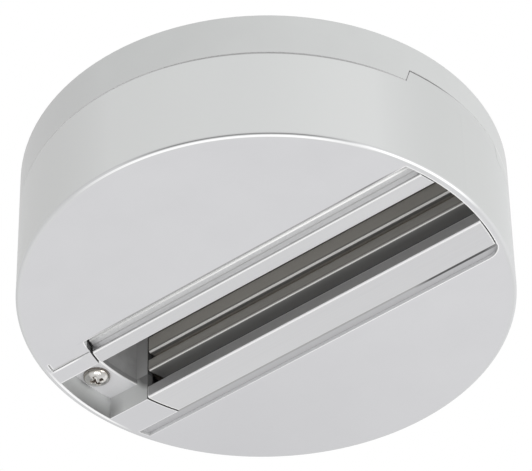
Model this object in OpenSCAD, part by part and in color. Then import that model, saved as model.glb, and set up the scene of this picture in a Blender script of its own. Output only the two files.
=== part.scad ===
// Surface-mounted ceiling outlet that carries one track lamp.
// A round housing holds a short length of three-circuit track, flush with its room face.
// Frame: origin at the centre of the ceiling face, +Z up into the ceiling, track along X.
// Depths are measured upwards from the room face.

/* [Housing] */
// Outside diameter of the housing
housing_d = 125; // [120:1:150]
// Height from the ceiling to the room face
housing_h = 40; // [39:0.5:60]
// Thickness of the cover's side wall
cover_wall_t = 1.85; // [1.4:0.05:2.2]
// Thickness of the cover's room face
face_t = 2.2; // [1.6:0.1:3]
// Radius on the outer edges of the housing
edge_r = 0.7; // [0.2:0.1:0.9]
// Depth of the seam between cover and base
seam_d = 27; // [24:0.5:30]
// Rise of the two cover tabs above the seam
tab_rise = 4; // [2:0.5:6]
// Half width of a tab at the seam
tab_half_w = 18.7; // [12:0.1:22]
// Inward lean of each tab side over its rise
tab_lean = 1.25; // [0:0.05:2]
// Gap left at the seam
seam_gap = 0.15; // [0.1:0.05:0.4]

/* [Base] */
// Thickness of the ceiling plate
plate_t = 2; // [1.6:0.1:3]
// Thickness of the base's side wall
base_wall_t = 2; // [1.6:0.1:2.4]
// Thickness of the ring that guides the cover
spigot_t = 1.8; // [1.2:0.1:2.4]
// How far the guide ring reaches past the seam
spigot_reach = 4; // [2:0.5:6]
// Gap between the guide ring and the cover
spigot_gap = 0.25; // [0.15:0.05:0.5]
// Half width of the openings in the guide ring at the track ends
spigot_gate = 20; // [19.5:0.5:24]
// Distance of each ceiling slot's middle from the housing's rim
ceiling_slot_inset = 20.5; // [18:0.5:23]
// Width of a ceiling slot
ceiling_slot_w = 4.8; // [4:0.1:6]
// Overall length of a ceiling slot
ceiling_slot_l = 9; // [7:0.5:12]
// Distance of the cable entry's middle from the housing's rim
cable_inset = 15.5; // [15:0.5:18]
// Angle of the cable entry from the track's far end
cable_angle = 60; // [58:1:66]

/* [Track] */
// Depth of the track section
track_depth = 32; // [31:0.5:34]
// Width of the channel between the lips
channel_w = 18.2; // [18:0.1:19]
// Width of the plain flange
plain_flange_w = 9.2; // [8.6:0.05:10]
// Width of the high part of the stepped flange
step_flange_w = 4.7; // [4:0.05:5.2]
// Width of the ledge beside the stepped flange
ledge_w = 4.4; // [4:0.1:5]
// Drop from the stepped flange to its ledge
ledge_drop = 2.4; // [1.8:0.1:2.6]
// Thickness of the flange and ledge rims
flange_t = 1.8; // [1.2:0.1:2]
// Depth of the lips beside the channel
lip_d = 3.5; // [3.2:0.1:4]
// Height of the locking groove under each lip
lock_h = 5.3; // [5:0.1:6]
// Reach of the locking groove behind the lip
lock_w = 4.9; // [4:0.05:5]
// Thickness of the track walls
track_wall_t = 2; // [1.6:0.1:2.4]
// Thickness of the track's back web
track_web_t = 1.8; // [1.4:0.1:2.2]
// Chamfer on the lip edges
lip_chamfer = 0.4; // [0.2:0.1:0.6]
// Distance of the track's near end from the housing's rim
near_inset = 14.9; // [14:0.1:16.5]
// Gap between the track's far end and the cover
far_gap = 0.35; // [0.2:0.05:0.6]
// Gap between the track's near end and the end plates
near_gap = 0.55; // [0.3:0.05:0.7]
// Places of the two track screws, either side of the centre
track_screw_x = 30; // [29:0.5:32]

/* [Insulators and conductors] */
// Thickness of an insulator from nose to back
insulator_w = 5.2; // [4.9:0.05:5.6]
// Height of the insulator's rib on the room side
rib_h = 3.4; // [3:0.05:3.8]
// Height of the insulator's rib between the conductors
mid_rib_h = 5; // [4.4:0.05:5.4]
// Height of the insulator's rib at the back
back_rib_h = 2; // [1.6:0.05:2.4]
// Height of each conductor slot
conductor_slot_h = 2.6; // [2.4:0.05:3]
// Thickness of a conductor bar
conductor_t = 1.5; // [1.2:0.1:1.8]
// Thickness of the insulator behind a conductor
insulator_back_t = 1.5; // [1.2:0.05:1.7]
// Chamfer on the rib noses
nose_chamfer = 0.45; // [0.2:0.05:0.6]
// How far the conductors stand out of the near end
conductor_stub = 3; // [2:0.1:4]
// How far the conductors stop short of the far end
conductor_setback = 3; // [2:0.5:6]
// Clearance of the parts that slide into the track
slide_fit = 0.06; // [0.04:0.01:0.12]

/* [Cover slot and end pocket] */
// Width of the rebate beside the plain flange
rebate_w = 3.3; // [3:0.1:4]
// Depth of the rebate beside the plain flange
rebate_d = 1; // [0.6:0.1:1.4]
// Gap between the plain flange and the rebate
rebate_gap = 0.4; // [0.3:0.05:0.6]
// Gap between the ledge and the cover
ledge_gap = 0.2; // [0.15:0.05:0.4]
// Radius of the slot's rounded corner
slot_corner_r = 5; // [4:0.25:6]
// Thickness of the skirts along the slot
skirt_t = 1.8; // [1.2:0.1:2.2]
// Depth of the skirts along the slot
skirt_d = 7; // [5:0.5:8]
// Width of the pocket for the cover screw
pocket_w = 19; // [18.4:0.1:19.6]
// Depth of the pocket
pocket_d = 6.6; // [6:0.1:8]
// Width of the pocket shelf, from the cover's side wall inwards
shelf_w = 9.05; // [8.65:0.05:9.45]
// Thickness of the pocket shelf
shelf_t = 1.6; // [1.4:0.1:3]
// Thickness of the pocket's side walls
pocket_wall_t = 1.6; // [1.2:0.1:1.7]
// Distance of the cover screw from the cover's side wall
screw_inset = 4.35; // [4.1:0.05:4.8]
// Width of the fine line beside the end plate
line_w = 0.45; // [0.3:0.05:0.6]
// Depth of the fine line beside the end plate
line_d = 0.3; // [0.2:0.05:0.6]

/* [Screws] */
// Diameter of the cover screw's head
cover_head_d = 7; // [6.4:0.05:7.4]
// Height of the cover screw's head
cover_head_h = 1.9; // [1.5:0.1:2.4]
// Diameter of the cover screw's shank
cover_screw_d = 3; // [2.6:0.1:3.2]
// Length of the cover screw's shank
cover_screw_l = 10; // [9:0.5:12]
// Outside diameter of the threaded insert
insert_d = 4.6; // [4.2:0.1:5]
// Length of the threaded insert
insert_l = 7; // [5:0.5:8]
// Diameter of the inner fixing screws
fixing_d = 3; // [2.5:0.1:3.2]
// Head diameter of the inner fixing screws
fixing_head_d = 5.6; // [5.2:0.1:6]
// Head height of the inner fixing screws
fixing_head_h = 2; // [1.6:0.1:2.4]
// Clearance around a screw that passes through a hole
screw_fit = 0.2; // [0.1:0.05:0.3]
// Clearance around a screw or insert in its seat
seat_fit = 0.05; // [0.03:0.01:0.1]

/* [Terminals] */
// Distance between the two poles of a terminal block
pole_pitch = 7; // [6.8:0.1:7.5]
// Distance from the centre line to the first pole
pole_y = 24.1; // [23.8:0.1:25]
// Length of a terminal block along the track
block_l = 14; // [13:0.5:15]
// Distance of a terminal block's near side from the housing's rim
block_inset = 17.5; // [17:0.5:18.5]
// Depth of a terminal block's room side
block_d = 10; // [9.5:0.25:10.5]
// Width of a clamp cage
cage_w = 5; // [4.6:0.1:5.2]
// Length of a clamp cage
cage_l = 9; // [8:0.5:10]
// Wall thickness of a clamp cage
cage_t = 0.8; // [0.6:0.1:1]
// Thickness of the link strips
link_t = 0.8; // [0.6:0.1:1]
// Thickness of the earth strip
earth_t = 0.8; // [0.6:0.1:1]
// Diameter of the earth screw
earth_screw_d = 4; // [3.5:0.1:4.4]
// Side of the square earth washer
earth_washer_w = 9; // [8:0.5:10]

/* [Hidden] */
$fn = 96;

silver = [0.80, 0.80, 0.81];
aluminium = [0.83, 0.84, 0.85];
grey_plastic = [0.48, 0.46, 0.42];
white_plastic = [0.90, 0.90, 0.88];
copper = [0.78, 0.47, 0.30];
brass = [0.80, 0.66, 0.36];
nickel = [0.74, 0.71, 0.66];
zinc = [0.66, 0.67, 0.69];
black_rubber = [0.10, 0.10, 0.10];

// Overlap used where one solid is built from several shapes or cut clean through
eps = 0.01;
over = 1;
// How far inner walls run into the cover's side wall
bond = cover_wall_t / 2;

// Housing radii and depths
housing_r = housing_d / 2;
cover_in_r = housing_r - cover_wall_t;
spigot_r = cover_in_r - spigot_gap;
plate_d = housing_h - plate_t;

// Track section, half widths from the centre line
channel_half = channel_w / 2;
plain_y = channel_half + plain_flange_w;
step_y = channel_half + step_flange_w;
ledge_y = step_y + ledge_w;
lock_y = channel_half + lock_w;
insulator_y = channel_half + slide_fit;
seat_y = insulator_y + insulator_w + slide_fit;
body_y = seat_y + track_wall_t;
foot_rest_w = 1.6;
earth_channel_y = seat_y - foot_rest_w;
side_groove_depth = 0.8;
side_groove_h = 4;

// Track section, depths
lock_end_d = lip_d + lock_h;
rib_d = lock_end_d + slide_fit;
slot_step = conductor_slot_h + mid_rib_h;
insulator_h = rib_h + mid_rib_h + back_rib_h + 2 * conductor_slot_h;
seat_end_d = rib_d + insulator_h + slide_fit;
web_d = track_depth - track_web_t;
function slot_d(level) = rib_d + rib_h + level * slot_step;

// Track ends
track_far_r = cover_in_r - far_gap;
track_near_r = housing_r - near_inset;
plate_r = track_near_r + near_gap;

// Conductors
conductor_y = insulator_y + insulator_w - insulator_back_t - conductor_t - slide_fit;
conductor_h = conductor_slot_h - 2 * slide_fit;
function chord(radius, y) = sqrt(radius * radius - y * y);
conductor_near_x = -chord(track_near_r, conductor_y) - conductor_stub;
conductor_far_x = chord(track_far_r, conductor_y + conductor_t) - conductor_setback;

// Slot in the cover
slot_plain_y = plain_y + rebate_w;
rebate_y = plain_y + rebate_gap;
slot_step_y = ledge_y + ledge_gap;
corner_blend = 0.1;
end_plate_lap = 0.3;
end_plate_y = plain_y + end_plate_lap;
line_offset = 0.77;
line_y = step_y + line_offset;
line_tail = 2.6;
pocket_half = pocket_w / 2;
tray_half = pocket_half + pocket_wall_t;
shelf_r = cover_in_r - shelf_w;
shelf_end_d = pocket_d + shelf_t;
screw_r = cover_in_r - screw_inset;

// End block
end_wall_setback = 0.2;
end_wall_r = shelf_r + end_wall_setback;
end_block_gap = 0.4;
end_block_r = spigot_r - end_block_gap;
end_screw_y = 7.6;
end_screw_l = 9;

// Terminal blocks
block_x = block_inset - housing_r;
block_gap_y = 3.5;
block_y = pole_y - block_gap_y;
block_w = pole_pitch + 2 * block_gap_y;
block_end_x = block_x + block_l;
pole_x = block_x + block_l / 2;
cage_fit = 0.1;
cage_room = 2.6;
cage_h = conductor_h + cage_room;
foot_t = 3;
foot_l = 9;
foot_seat_h = 4;
foot_d = plate_d - foot_seat_h;
foot_x = block_end_x + foot_l / 2;
foot_y = block_y + block_w / 2;
clamp_screw_d = 2.6;
clamp_head_d = 3.8;
clamp_head_h = 1.6;
clamp_access_d = clamp_head_d + 2 * screw_fit;
link_x = conductor_near_x - link_t;
link_end_x = pole_x + cage_l / 2;

// Earth strip
earth_w = 9;
earth_reach = 8;
earth_y = body_y + earth_reach;
earth_washer_t = 1.2;
earth_head_d = 7;
earth_head_h = 2.4;
earth_boss_d = track_depth + earth_t;

// Bosses on the ceiling plate and the screws in them
boss_d = 9;
pilot_floor_t = 0.8;
fixing_l = plate_d - track_depth - pilot_floor_t;
tip_gap = 1;

// Places in the ceiling plate
ceiling_slot_y = housing_r - ceiling_slot_inset;
cable_x = (housing_r - cable_inset) * cos(cable_angle);
cable_y = (housing_r - cable_inset) * sin(cable_angle);

// Screw heads, as shares of the head's size
crown_flatness = 1.12;
recess_span = 0.56;
recess_share = 0.6;
recess_arm = 0.25;
slot_share = 0.2;

// Cable grommet
grommet_bore_d = 9;
grommet_neck_d = 13.8;
grommet_flange_d = 18;
grommet_flange_t = 1;
grommet_inner_t = 1.5;
grommet_boss_d = grommet_flange_d + 4;
grommet_web_t = 2.4;
grommet_recess_d = 1.2;
grommet_fit = 0.1;

// Placement helpers

module at_depth(depth) {
    translate([0, 0, depth - housing_h]) children();
}

module plan(from_d, to_d) {
    at_depth(from_d) linear_extrude(to_d - from_d) children();
}

module along_track(from_x, to_x) {
    translate([from_x, 0, -housing_h]) rotate([90, 0, 90]) linear_extrude(to_x - from_x) children();
}

module both_sides() {
    children();
    mirror([0, 1, 0]) children();
}

// Rectangle given by two corners
module area(low, high) {
    translate(low) square(high - low);
}

// Drives and fasteners

module cross_recess(size, depth) {
    arm_w = size * recess_arm;
    for (turn = [0, 90])
        rotate(turn) translate([-size / 2, -arm_w / 2, -eps]) cube([size, arm_w, depth + eps]);
}

// Pan-head screw with its head towards the room and its seat at z = 0
module pan_screw(head_d, head_h, shank_d, shank_l) {
    crown_r = (head_d * head_d / 4 + head_h * head_h) / (2 * head_h) * crown_flatness;
    difference() {
        union() {
            intersection() {
                translate([0, 0, -head_h]) cylinder(d = head_d, h = head_h);
                translate([0, 0, crown_r - head_h]) sphere(crown_r);
            }
            cylinder(d = shank_d, h = shank_l);
        }
        translate([0, 0, -head_h]) cross_recess(head_d * recess_span, head_h * recess_share);
    }
}

// Slotted screw with its head towards the room and its seat at z = 0
module slotted_screw(head_d, head_h, shank_d, shank_l) {
    slot_w = head_d * slot_share;
    difference() {
        union() {
            translate([0, 0, -head_h]) cylinder(d = head_d, h = head_h);
            cylinder(d = shank_d, h = shank_l);
        }
        translate([-head_d, -slot_w / 2, -head_h - over])
            cube([2 * head_d, slot_w, over + head_h * recess_share]);
    }
}

// Countersunk screw with its head towards the ceiling and its top at z = 0
module flat_screw(head_d, shank_d, shank_l) {
    cone_h = (head_d - shank_d) / 2;
    difference() {
        rotate_extrude()
            polygon([
                [0, 0], [head_d / 2, 0],
                [shank_d / 2, -cone_h], [shank_d / 2, -shank_l], [0, -shank_l]
            ]);
        mirror([0, 0, 1]) cross_recess(head_d * recess_span, cone_h * recess_share);
    }
}

// Cover

module tab_shape(grow) {
    for (side = [0, 180])
        rotate([0, 0, side]) rotate([90, 0, 90]) linear_extrude(housing_r + over)
            polygon([
                [-tab_half_w - grow, seam_d - housing_h - eps],
                [tab_half_w + grow, seam_d - housing_h - eps],
                [tab_half_w + grow - tab_lean, seam_d + tab_rise + grow - housing_h],
                [-tab_half_w - grow + tab_lean, seam_d + tab_rise + grow - housing_h]
            ]);
}

module side_ring(inner_r, from_d, to_d) {
    at_depth(from_d) difference() {
        cylinder(r = housing_r, h = to_d - from_d);
        translate([0, 0, -over]) cylinder(r = inner_r, h = to_d - from_d + 2 * over);
    }
}

module cover_wall() {
    at_depth(0) rotate_extrude() difference() {
        area([cover_in_r, 0], [housing_r, seam_d]);
        difference() {
            translate([housing_r - edge_r, -over]) square([edge_r + over, edge_r + over]);
            translate([housing_r - edge_r, edge_r]) circle(edge_r);
        }
    }
    intersection() {
        side_ring(cover_in_r, seam_d - eps, seam_d + tab_rise);
        tab_shape(0);
    }
}

// Two half moons of the room face, beside the slot that runs from rim to rim
module face_outline() {
    intersection() {
        circle(cover_in_r + bond);
        union() {
            area([-housing_r, slot_plain_y], [housing_r, housing_r]);
            area([-housing_r, -housing_r], [housing_r, -slot_step_y]);
            slot_corner();
        }
    }
}

// Fill that rounds the slot's far corner on the plain side
module slot_corner() {
    centre_y = slot_plain_y - slot_corner_r;
    centre_x = chord(cover_in_r - slot_corner_r + corner_blend, centre_y);
    difference() {
        area([centre_x, centre_y], [housing_r, slot_plain_y + over]);
        translate([centre_x, centre_y]) circle(slot_corner_r);
    }
}

// Everything outside a radius on the screw's side of the disc
module near_side(radius) {
    difference() {
        area([-housing_r, -housing_r], [0, housing_r]);
        circle(radius);
    }
}

module end_plate_outline() {
    intersection() {
        circle(cover_in_r + bond);
        near_side(plate_r);
        area([-housing_r, -slot_step_y - eps], [0, end_plate_y]);
    }
}

module tray_outline() {
    intersection() {
        circle(cover_in_r + bond);
        near_side(plate_r);
        area([-housing_r, -tray_half], [0, tray_half]);
    }
}

module skirts() {
    plan(face_t - eps, skirt_d) intersection() {
        circle(cover_in_r + bond);
        union() {
            area([-housing_r, rebate_y], [housing_r, rebate_y + skirt_t]);
            area([-housing_r, -slot_step_y - skirt_t], [housing_r, -slot_step_y]);
        }
    }
}

// Floor of the rebate along the track and, joined to the end plate, past the track's near end
module rebate_floor() {
    plan(rebate_d, rebate_d + face_t) intersection() {
        circle(cover_in_r + bond);
        union() {
            area([-housing_r, rebate_y], [housing_r, slot_plain_y + bond]);
            intersection() {
                near_side(plate_r);
                area([-housing_r, end_plate_y - skirt_t], [0, slot_plain_y]);
            }
        }
    }
}

// Fine line between the end plate and the face, turning along the rim at its end
module end_plate_line() {
    turn_r = cover_in_r - line_w;
    plan(-over, line_d) {
        intersection() {
            near_side(plate_r - over);
            circle(turn_r);
            area([-housing_r, -line_y - line_w / 2], [0, -line_y + line_w / 2]);
        }
        intersection() {
            near_side(turn_r - line_w);
            circle(turn_r);
            area([-housing_r, -line_y - line_tail], [0, -line_y + line_w / 2]);
        }
    }
}

module pocket_cut() {
    plan(-over, pocket_d) intersection() {
        circle(cover_in_r);
        area([-housing_r, -pocket_half], [0, pocket_half]);
    }
    plan(-over, shelf_end_d + over) intersection() {
        circle(shelf_r);
        area([-housing_r, -pocket_half], [0, pocket_half]);
    }
}

module cover() {
    color(silver) difference() {
        union() {
            cover_wall();
            plan(0, face_t) face_outline();
            plan(0, face_t) end_plate_outline();
            plan(0, shelf_end_d) tray_outline();
            skirts();
            rebate_floor();
        }
        pocket_cut();
        end_plate_line();
        translate([-screw_r, 0, -housing_h])
            cylinder(d = cover_screw_d + 2 * screw_fit, h = shelf_end_d + over);
    }
}

// Base

module guide_ring() {
    from_d = seam_d - spigot_reach;
    difference() {
        at_depth(from_d) cylinder(r = spigot_r, h = plate_d - from_d + eps);
        at_depth(from_d - over) cylinder(r = spigot_r - spigot_t, h = housing_h);
        plan(from_d - over, plate_d) area([-housing_r, -spigot_gate], [housing_r, spigot_gate]);
    }
}

module base_shell() {
    difference() {
        union() {
            at_depth(plate_d) rotate_extrude() difference() {
                square([housing_r, plate_t]);
                difference() {
                    translate([housing_r - edge_r, plate_t - edge_r])
                        square([edge_r + over, edge_r + over]);
                    translate([housing_r - edge_r, plate_t - edge_r]) circle(edge_r);
                }
            }
            side_ring(housing_r - base_wall_t, seam_d + seam_gap, plate_d + eps);
        }
        intersection() {
            side_ring(cover_in_r - base_wall_t, seam_d, seam_d + tab_rise + seam_gap);
            tab_shape(seam_gap);
        }
    }
    guide_ring();
}

module boss(x, y, diameter, from_d) {
    translate([x, y, from_d - housing_h]) cylinder(d = diameter, h = plate_d - from_d + eps);
}

module pilot(x, y, diameter, from_d, length) {
    translate([x, y, from_d - housing_h - eps]) cylinder(d = diameter + 2 * seat_fit, h = length);
}

module ceiling_slot() {
    reach = (ceiling_slot_l - ceiling_slot_w) / 2;
    plan(plate_d - over, housing_h + over) {
        for (end = [-reach, reach])
            translate([0, ceiling_slot_y + end]) circle(d = ceiling_slot_w);
        area([-ceiling_slot_w / 2, ceiling_slot_y - reach], [ceiling_slot_w / 2, ceiling_slot_y + reach]);
    }
}

module base() {
    color(silver) difference() {
        union() {
            base_shell();
            boss(-track_screw_x, 0, boss_d, track_depth);
            boss(track_screw_x, 0, boss_d, earth_boss_d);
            boss(track_screw_x, earth_y, boss_d, earth_boss_d);
            both_sides() boss(foot_x, foot_y, boss_d, foot_d);
            translate([cable_x, cable_y, -grommet_recess_d - grommet_web_t])
                cylinder(d = grommet_boss_d, h = grommet_web_t);
        }
        both_sides() ceiling_slot();
        pilot(-track_screw_x, 0, fixing_d, track_depth, fixing_l + eps);
        pilot(track_screw_x, 0, fixing_d, earth_boss_d, fixing_l + eps);
        pilot(track_screw_x, earth_y, earth_screw_d, earth_boss_d, fixing_l + eps);
        both_sides() pilot(foot_x, foot_y, fixing_d, foot_d, foot_seat_h + eps);
        both_sides() translate([-screw_r, end_screw_y, 0]) end_screw_seat();
        translate([cable_x, cable_y, -housing_h])
            cylinder(d = grommet_neck_d + 2 * grommet_fit, h = housing_h + over);
        translate([cable_x, cable_y, -grommet_recess_d])
            cylinder(d = grommet_flange_d + 2 * grommet_fit, h = grommet_recess_d + over);
    }
}

module end_screw_seat() {
    cone_h = (fixing_head_d - fixing_d) / 2;
    rotate_extrude()
        polygon([
            [0, over], [fixing_head_d / 2 + screw_fit, over], [fixing_head_d / 2 + screw_fit, 0],
            [fixing_d / 2 + screw_fit, -cone_h],
            [fixing_d / 2 + screw_fit, -plate_t - over], [0, -plate_t - over]
        ]);
}

module cable_grommet() {
    web_top = -grommet_recess_d;
    web_low = web_top - grommet_web_t;
    flange_r = grommet_flange_d / 2;
    neck_r = grommet_neck_d / 2;
    color(black_rubber) translate([cable_x, cable_y, 0]) rotate_extrude() difference() {
        union() {
            area([0, web_top], [flange_r, web_top + grommet_flange_t]);
            area([0, web_low - eps], [neck_r, web_top + eps]);
            area([0, web_low - grommet_inner_t], [flange_r, web_low]);
        }
        area([-over, -housing_h], [grommet_bore_d / 2, housing_h]);
    }
}

// Track section

module lip_chamfers() {
    cut = lip_chamfer;
    for (side = [-1, 1])
        polygon([
            [side * (channel_half - eps), -eps], [side * (channel_half + cut), -eps],
            [side * (channel_half - eps), cut]
        ]);
    polygon([[-step_y - eps, -eps], [-step_y + cut, -eps], [-step_y - eps, cut]]);
}

module track_section() {
    difference() {
        union() {
            area([-body_y, 0], [body_y, track_depth]);
            area([body_y - eps, 0], [plain_y, flange_t]);
            area([-ledge_y, ledge_drop], [-body_y + eps, ledge_drop + flange_t]);
        }
        area([-body_y - over, -over], [-step_y, ledge_drop]);
        area([-channel_half, -over], [channel_half, web_d]);
        area([-lock_y, lip_d], [lock_y, lock_end_d]);
        area([-seat_y, lock_end_d], [seat_y, seat_end_d]);
        area([-earth_channel_y, seat_end_d - eps], [earth_channel_y, web_d]);
        for (side = [-1, 1])
            translate([side * body_y, slot_d(0) + side_groove_h / 2])
                square([2 * side_groove_depth, side_groove_h], center = true);
        lip_chamfers();
    }
}

// Plan of the track between its two rounded ends
module track_outline(inset) {
    intersection() {
        circle(track_far_r - inset);
        union() {
            circle(track_near_r - inset);
            area([0, -housing_r], [housing_r, housing_r]);
        }
    }
}

module track_profile() {
    color(aluminium) difference() {
        intersection() {
            along_track(-housing_r, housing_r) track_section();
            plan(-over, track_depth + over) track_outline(0);
        }
        for (x = [-track_screw_x, track_screw_x])
            translate([x, 0, -housing_h]) cylinder(d = fixing_d + 2 * screw_fit, h = housing_h);
    }
}

module insulator_section() {
    back_y = insulator_y + insulator_w;
    difference() {
        area([insulator_y, rib_d], [back_y, rib_d + insulator_h]);
        for (level = [0, 1])
            area([insulator_y - over, slot_d(level)],
                 [back_y - insulator_back_t, slot_d(level) + conductor_slot_h]);
        for (nose_d = [rib_d, slot_d(0) + conductor_slot_h, slot_d(1) + conductor_slot_h])
            translate([insulator_y, nose_d])
                polygon([[-eps, -eps], [nose_chamfer, -eps], [-eps, nose_chamfer]]);
    }
}

module insulator() {
    color(grey_plastic) intersection() {
        along_track(-housing_r, housing_r) insulator_section();
        plan(0, track_depth) track_outline(slide_fit);
    }
}

module insulator_left() {
    insulator();
}

module insulator_right() {
    mirror([0, 1, 0]) insulator();
}

module conductor(level) {
    color(copper) along_track(conductor_near_x, conductor_far_x)
        translate([conductor_y, slot_d(level) + slide_fit]) square([conductor_t, conductor_h]);
}

module conductor_l1() {
    conductor(0);
}

module conductor_l2() {
    conductor(1);
}

module conductor_l3() {
    mirror([0, 1, 0]) conductor(0);
}

module conductor_n() {
    mirror([0, 1, 0]) conductor(1);
}

module track_screws() {
    color(zinc) for (x = [-track_screw_x, track_screw_x])
        translate([x, 0, web_d - housing_h])
            pan_screw(fixing_head_d, fixing_head_h, fixing_d, track_web_t + fixing_l);
}

// End of the channel: the block that takes the cover screw

module end_block_outline() {
    difference() {
        intersection() {
            circle(end_block_r);
            near_side(plate_r);
            area([-housing_r, -tray_half], [0, tray_half]);
        }
        intersection() {
            circle(end_wall_r);
            area([-housing_r, -pocket_half], [0, pocket_half]);
        }
    }
}

module end_block() {
    color(grey_plastic) difference() {
        plan(shelf_end_d, plate_d) end_block_outline();
        translate([-screw_r, 0, -housing_h]) {
            cylinder(d = insert_d + 2 * seat_fit, h = shelf_end_d + insert_l);
            cylinder(d = cover_screw_d + 2 * screw_fit, h = pocket_d + cover_screw_l + over);
        }
        both_sides() translate([-screw_r, end_screw_y, -end_screw_l])
            cylinder(d = fixing_d + 2 * seat_fit, h = housing_h);
    }
}

module screw_insert() {
    color(brass) translate([-screw_r, 0, shelf_end_d - housing_h]) difference() {
        cylinder(d = insert_d, h = insert_l);
        translate([0, 0, -over]) cylinder(d = cover_screw_d + 2 * seat_fit, h = insert_l + 2 * over);
    }
}

module cover_screw() {
    color(nickel) translate([-screw_r, 0, pocket_d - housing_h])
        pan_screw(cover_head_d, cover_head_h, cover_screw_d, cover_screw_l);
}

module end_block_screws() {
    color(zinc) both_sides() translate([-screw_r, end_screw_y, 0])
        flat_screw(fixing_head_d, fixing_d, end_screw_l);
}

// Feed: links, terminal blocks and clamps

function pole_at(level) = pole_y + level * pole_pitch;
function link_d(level) = slot_d(level) + slide_fit;
function cage_d(level) = link_d(level) - (cage_h - conductor_h) / 2;

module link(level) {
    pole = pole_at(level);
    plan(link_d(level), link_d(level) + conductor_h) {
        area([link_x, conductor_y], [link_x + link_t, pole + link_t / 2]);
        area([link_x, pole - link_t / 2], [link_end_x, pole + link_t / 2]);
    }
}

module feed_links() {
    color(copper) both_sides() for (level = [0, 1]) link(level);
}

// Box centred on a pole
module pole_box(level, length, width, from_d, to_d) {
    plan(from_d, to_d) translate([pole_x, pole_at(level)]) square([length, width], center = true);
}

module terminal_block() {
    color(white_plastic) difference() {
        union() {
            plan(block_d, plate_d) area([block_x, block_y], [block_end_x, block_y + block_w]);
            plan(foot_d - foot_t, foot_d)
                area([block_end_x - eps, foot_y - boss_d / 2], [block_end_x + foot_l, foot_y + boss_d / 2]);
        }
        for (level = [0, 1]) {
            pole_box(level, cage_l + 2 * cage_fit, cage_w + 2 * cage_fit, cage_d(level), plate_d + over);
            pole_box(level, block_l + 2 * over, cage_w - 2 * cage_t,
                     cage_d(level) + cage_t, cage_d(level) + cage_h - cage_t);
            translate([pole_x, pole_at(level), block_d - over - housing_h])
                cylinder(d = clamp_access_d, h = cage_d(level) - block_d + 2 * over);
        }
        translate([foot_x, foot_y, -housing_h]) cylinder(d = fixing_d + 2 * screw_fit, h = housing_h);
    }
}

module terminal_block_left() {
    terminal_block();
}

module terminal_block_right() {
    mirror([0, 1, 0]) terminal_block();
}

module clamp_cage(level) {
    low_d = cage_d(level);
    difference() {
        pole_box(level, cage_l, cage_w, low_d, low_d + cage_h);
        pole_box(level, cage_l + 2 * over, cage_w - 2 * cage_t, low_d + cage_t, low_d + cage_h - cage_t);
        translate([pole_x, pole_at(level), low_d - over - housing_h])
            cylinder(d = clamp_screw_d + 2 * seat_fit, h = cage_t + 2 * over);
    }
}

module terminal_clamps() {
    color(brass) both_sides() for (level = [0, 1]) clamp_cage(level);
}

module terminal_screws() {
    color(zinc) both_sides() for (level = [0, 1])
        translate([pole_x, pole_at(level), cage_d(level) - housing_h])
            slotted_screw(clamp_head_d, clamp_head_h, clamp_screw_d, link_d(level) - cage_d(level));
}

module block_screws() {
    color(zinc) both_sides() translate([foot_x, foot_y, foot_d - foot_t - housing_h])
        pan_screw(fixing_head_d, fixing_head_h, fixing_d, foot_t + foot_seat_h - tip_gap);
}

// Earth connection

module earth_strip() {
    color(brass) difference() {
        plan(track_depth, earth_boss_d)
            area(
                [track_screw_x - earth_w / 2, -earth_w / 2],
                [track_screw_x + earth_w / 2, earth_y + earth_w / 2]
            );
        translate([track_screw_x, 0, -housing_h]) cylinder(d = fixing_d + 2 * screw_fit, h = housing_h);
        translate([track_screw_x, earth_y, -housing_h])
            cylinder(d = earth_screw_d + 2 * screw_fit, h = housing_h);
    }
}

module earth_washer() {
    color(brass) difference() {
        plan(track_depth - earth_washer_t, track_depth)
            translate([track_screw_x, earth_y]) square(earth_washer_w, center = true);
        translate([track_screw_x, earth_y, -housing_h])
            cylinder(d = earth_screw_d + 2 * screw_fit, h = housing_h);
    }
}

module earth_screw() {
    color(brass) translate([track_screw_x, earth_y, track_depth - earth_washer_t - housing_h])
        pan_screw(earth_head_d, earth_head_h, earth_screw_d, earth_washer_t + earth_t + fixing_l - tip_gap);
}

cover();
base();
track_profile();
insulator_left();
insulator_right();
conductor_l1();
conductor_l2();
conductor_l3();
conductor_n();
end_block();
screw_insert();
cover_screw();
end_block_screws();
feed_links();
terminal_block_left();
terminal_block_right();
terminal_clamps();
terminal_screws();
block_screws();
track_screws();
earth_strip();
earth_washer();
earth_screw();
cable_grommet();
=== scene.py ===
"""Looks of the round ceiling outlet: finishes, cover rim, ledge bead, cover screw, studio and camera."""

import logging
import math
from dataclasses import dataclass, field
from enum import Enum

import bmesh
import bpy
from mathutils import Matrix, Vector


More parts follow.
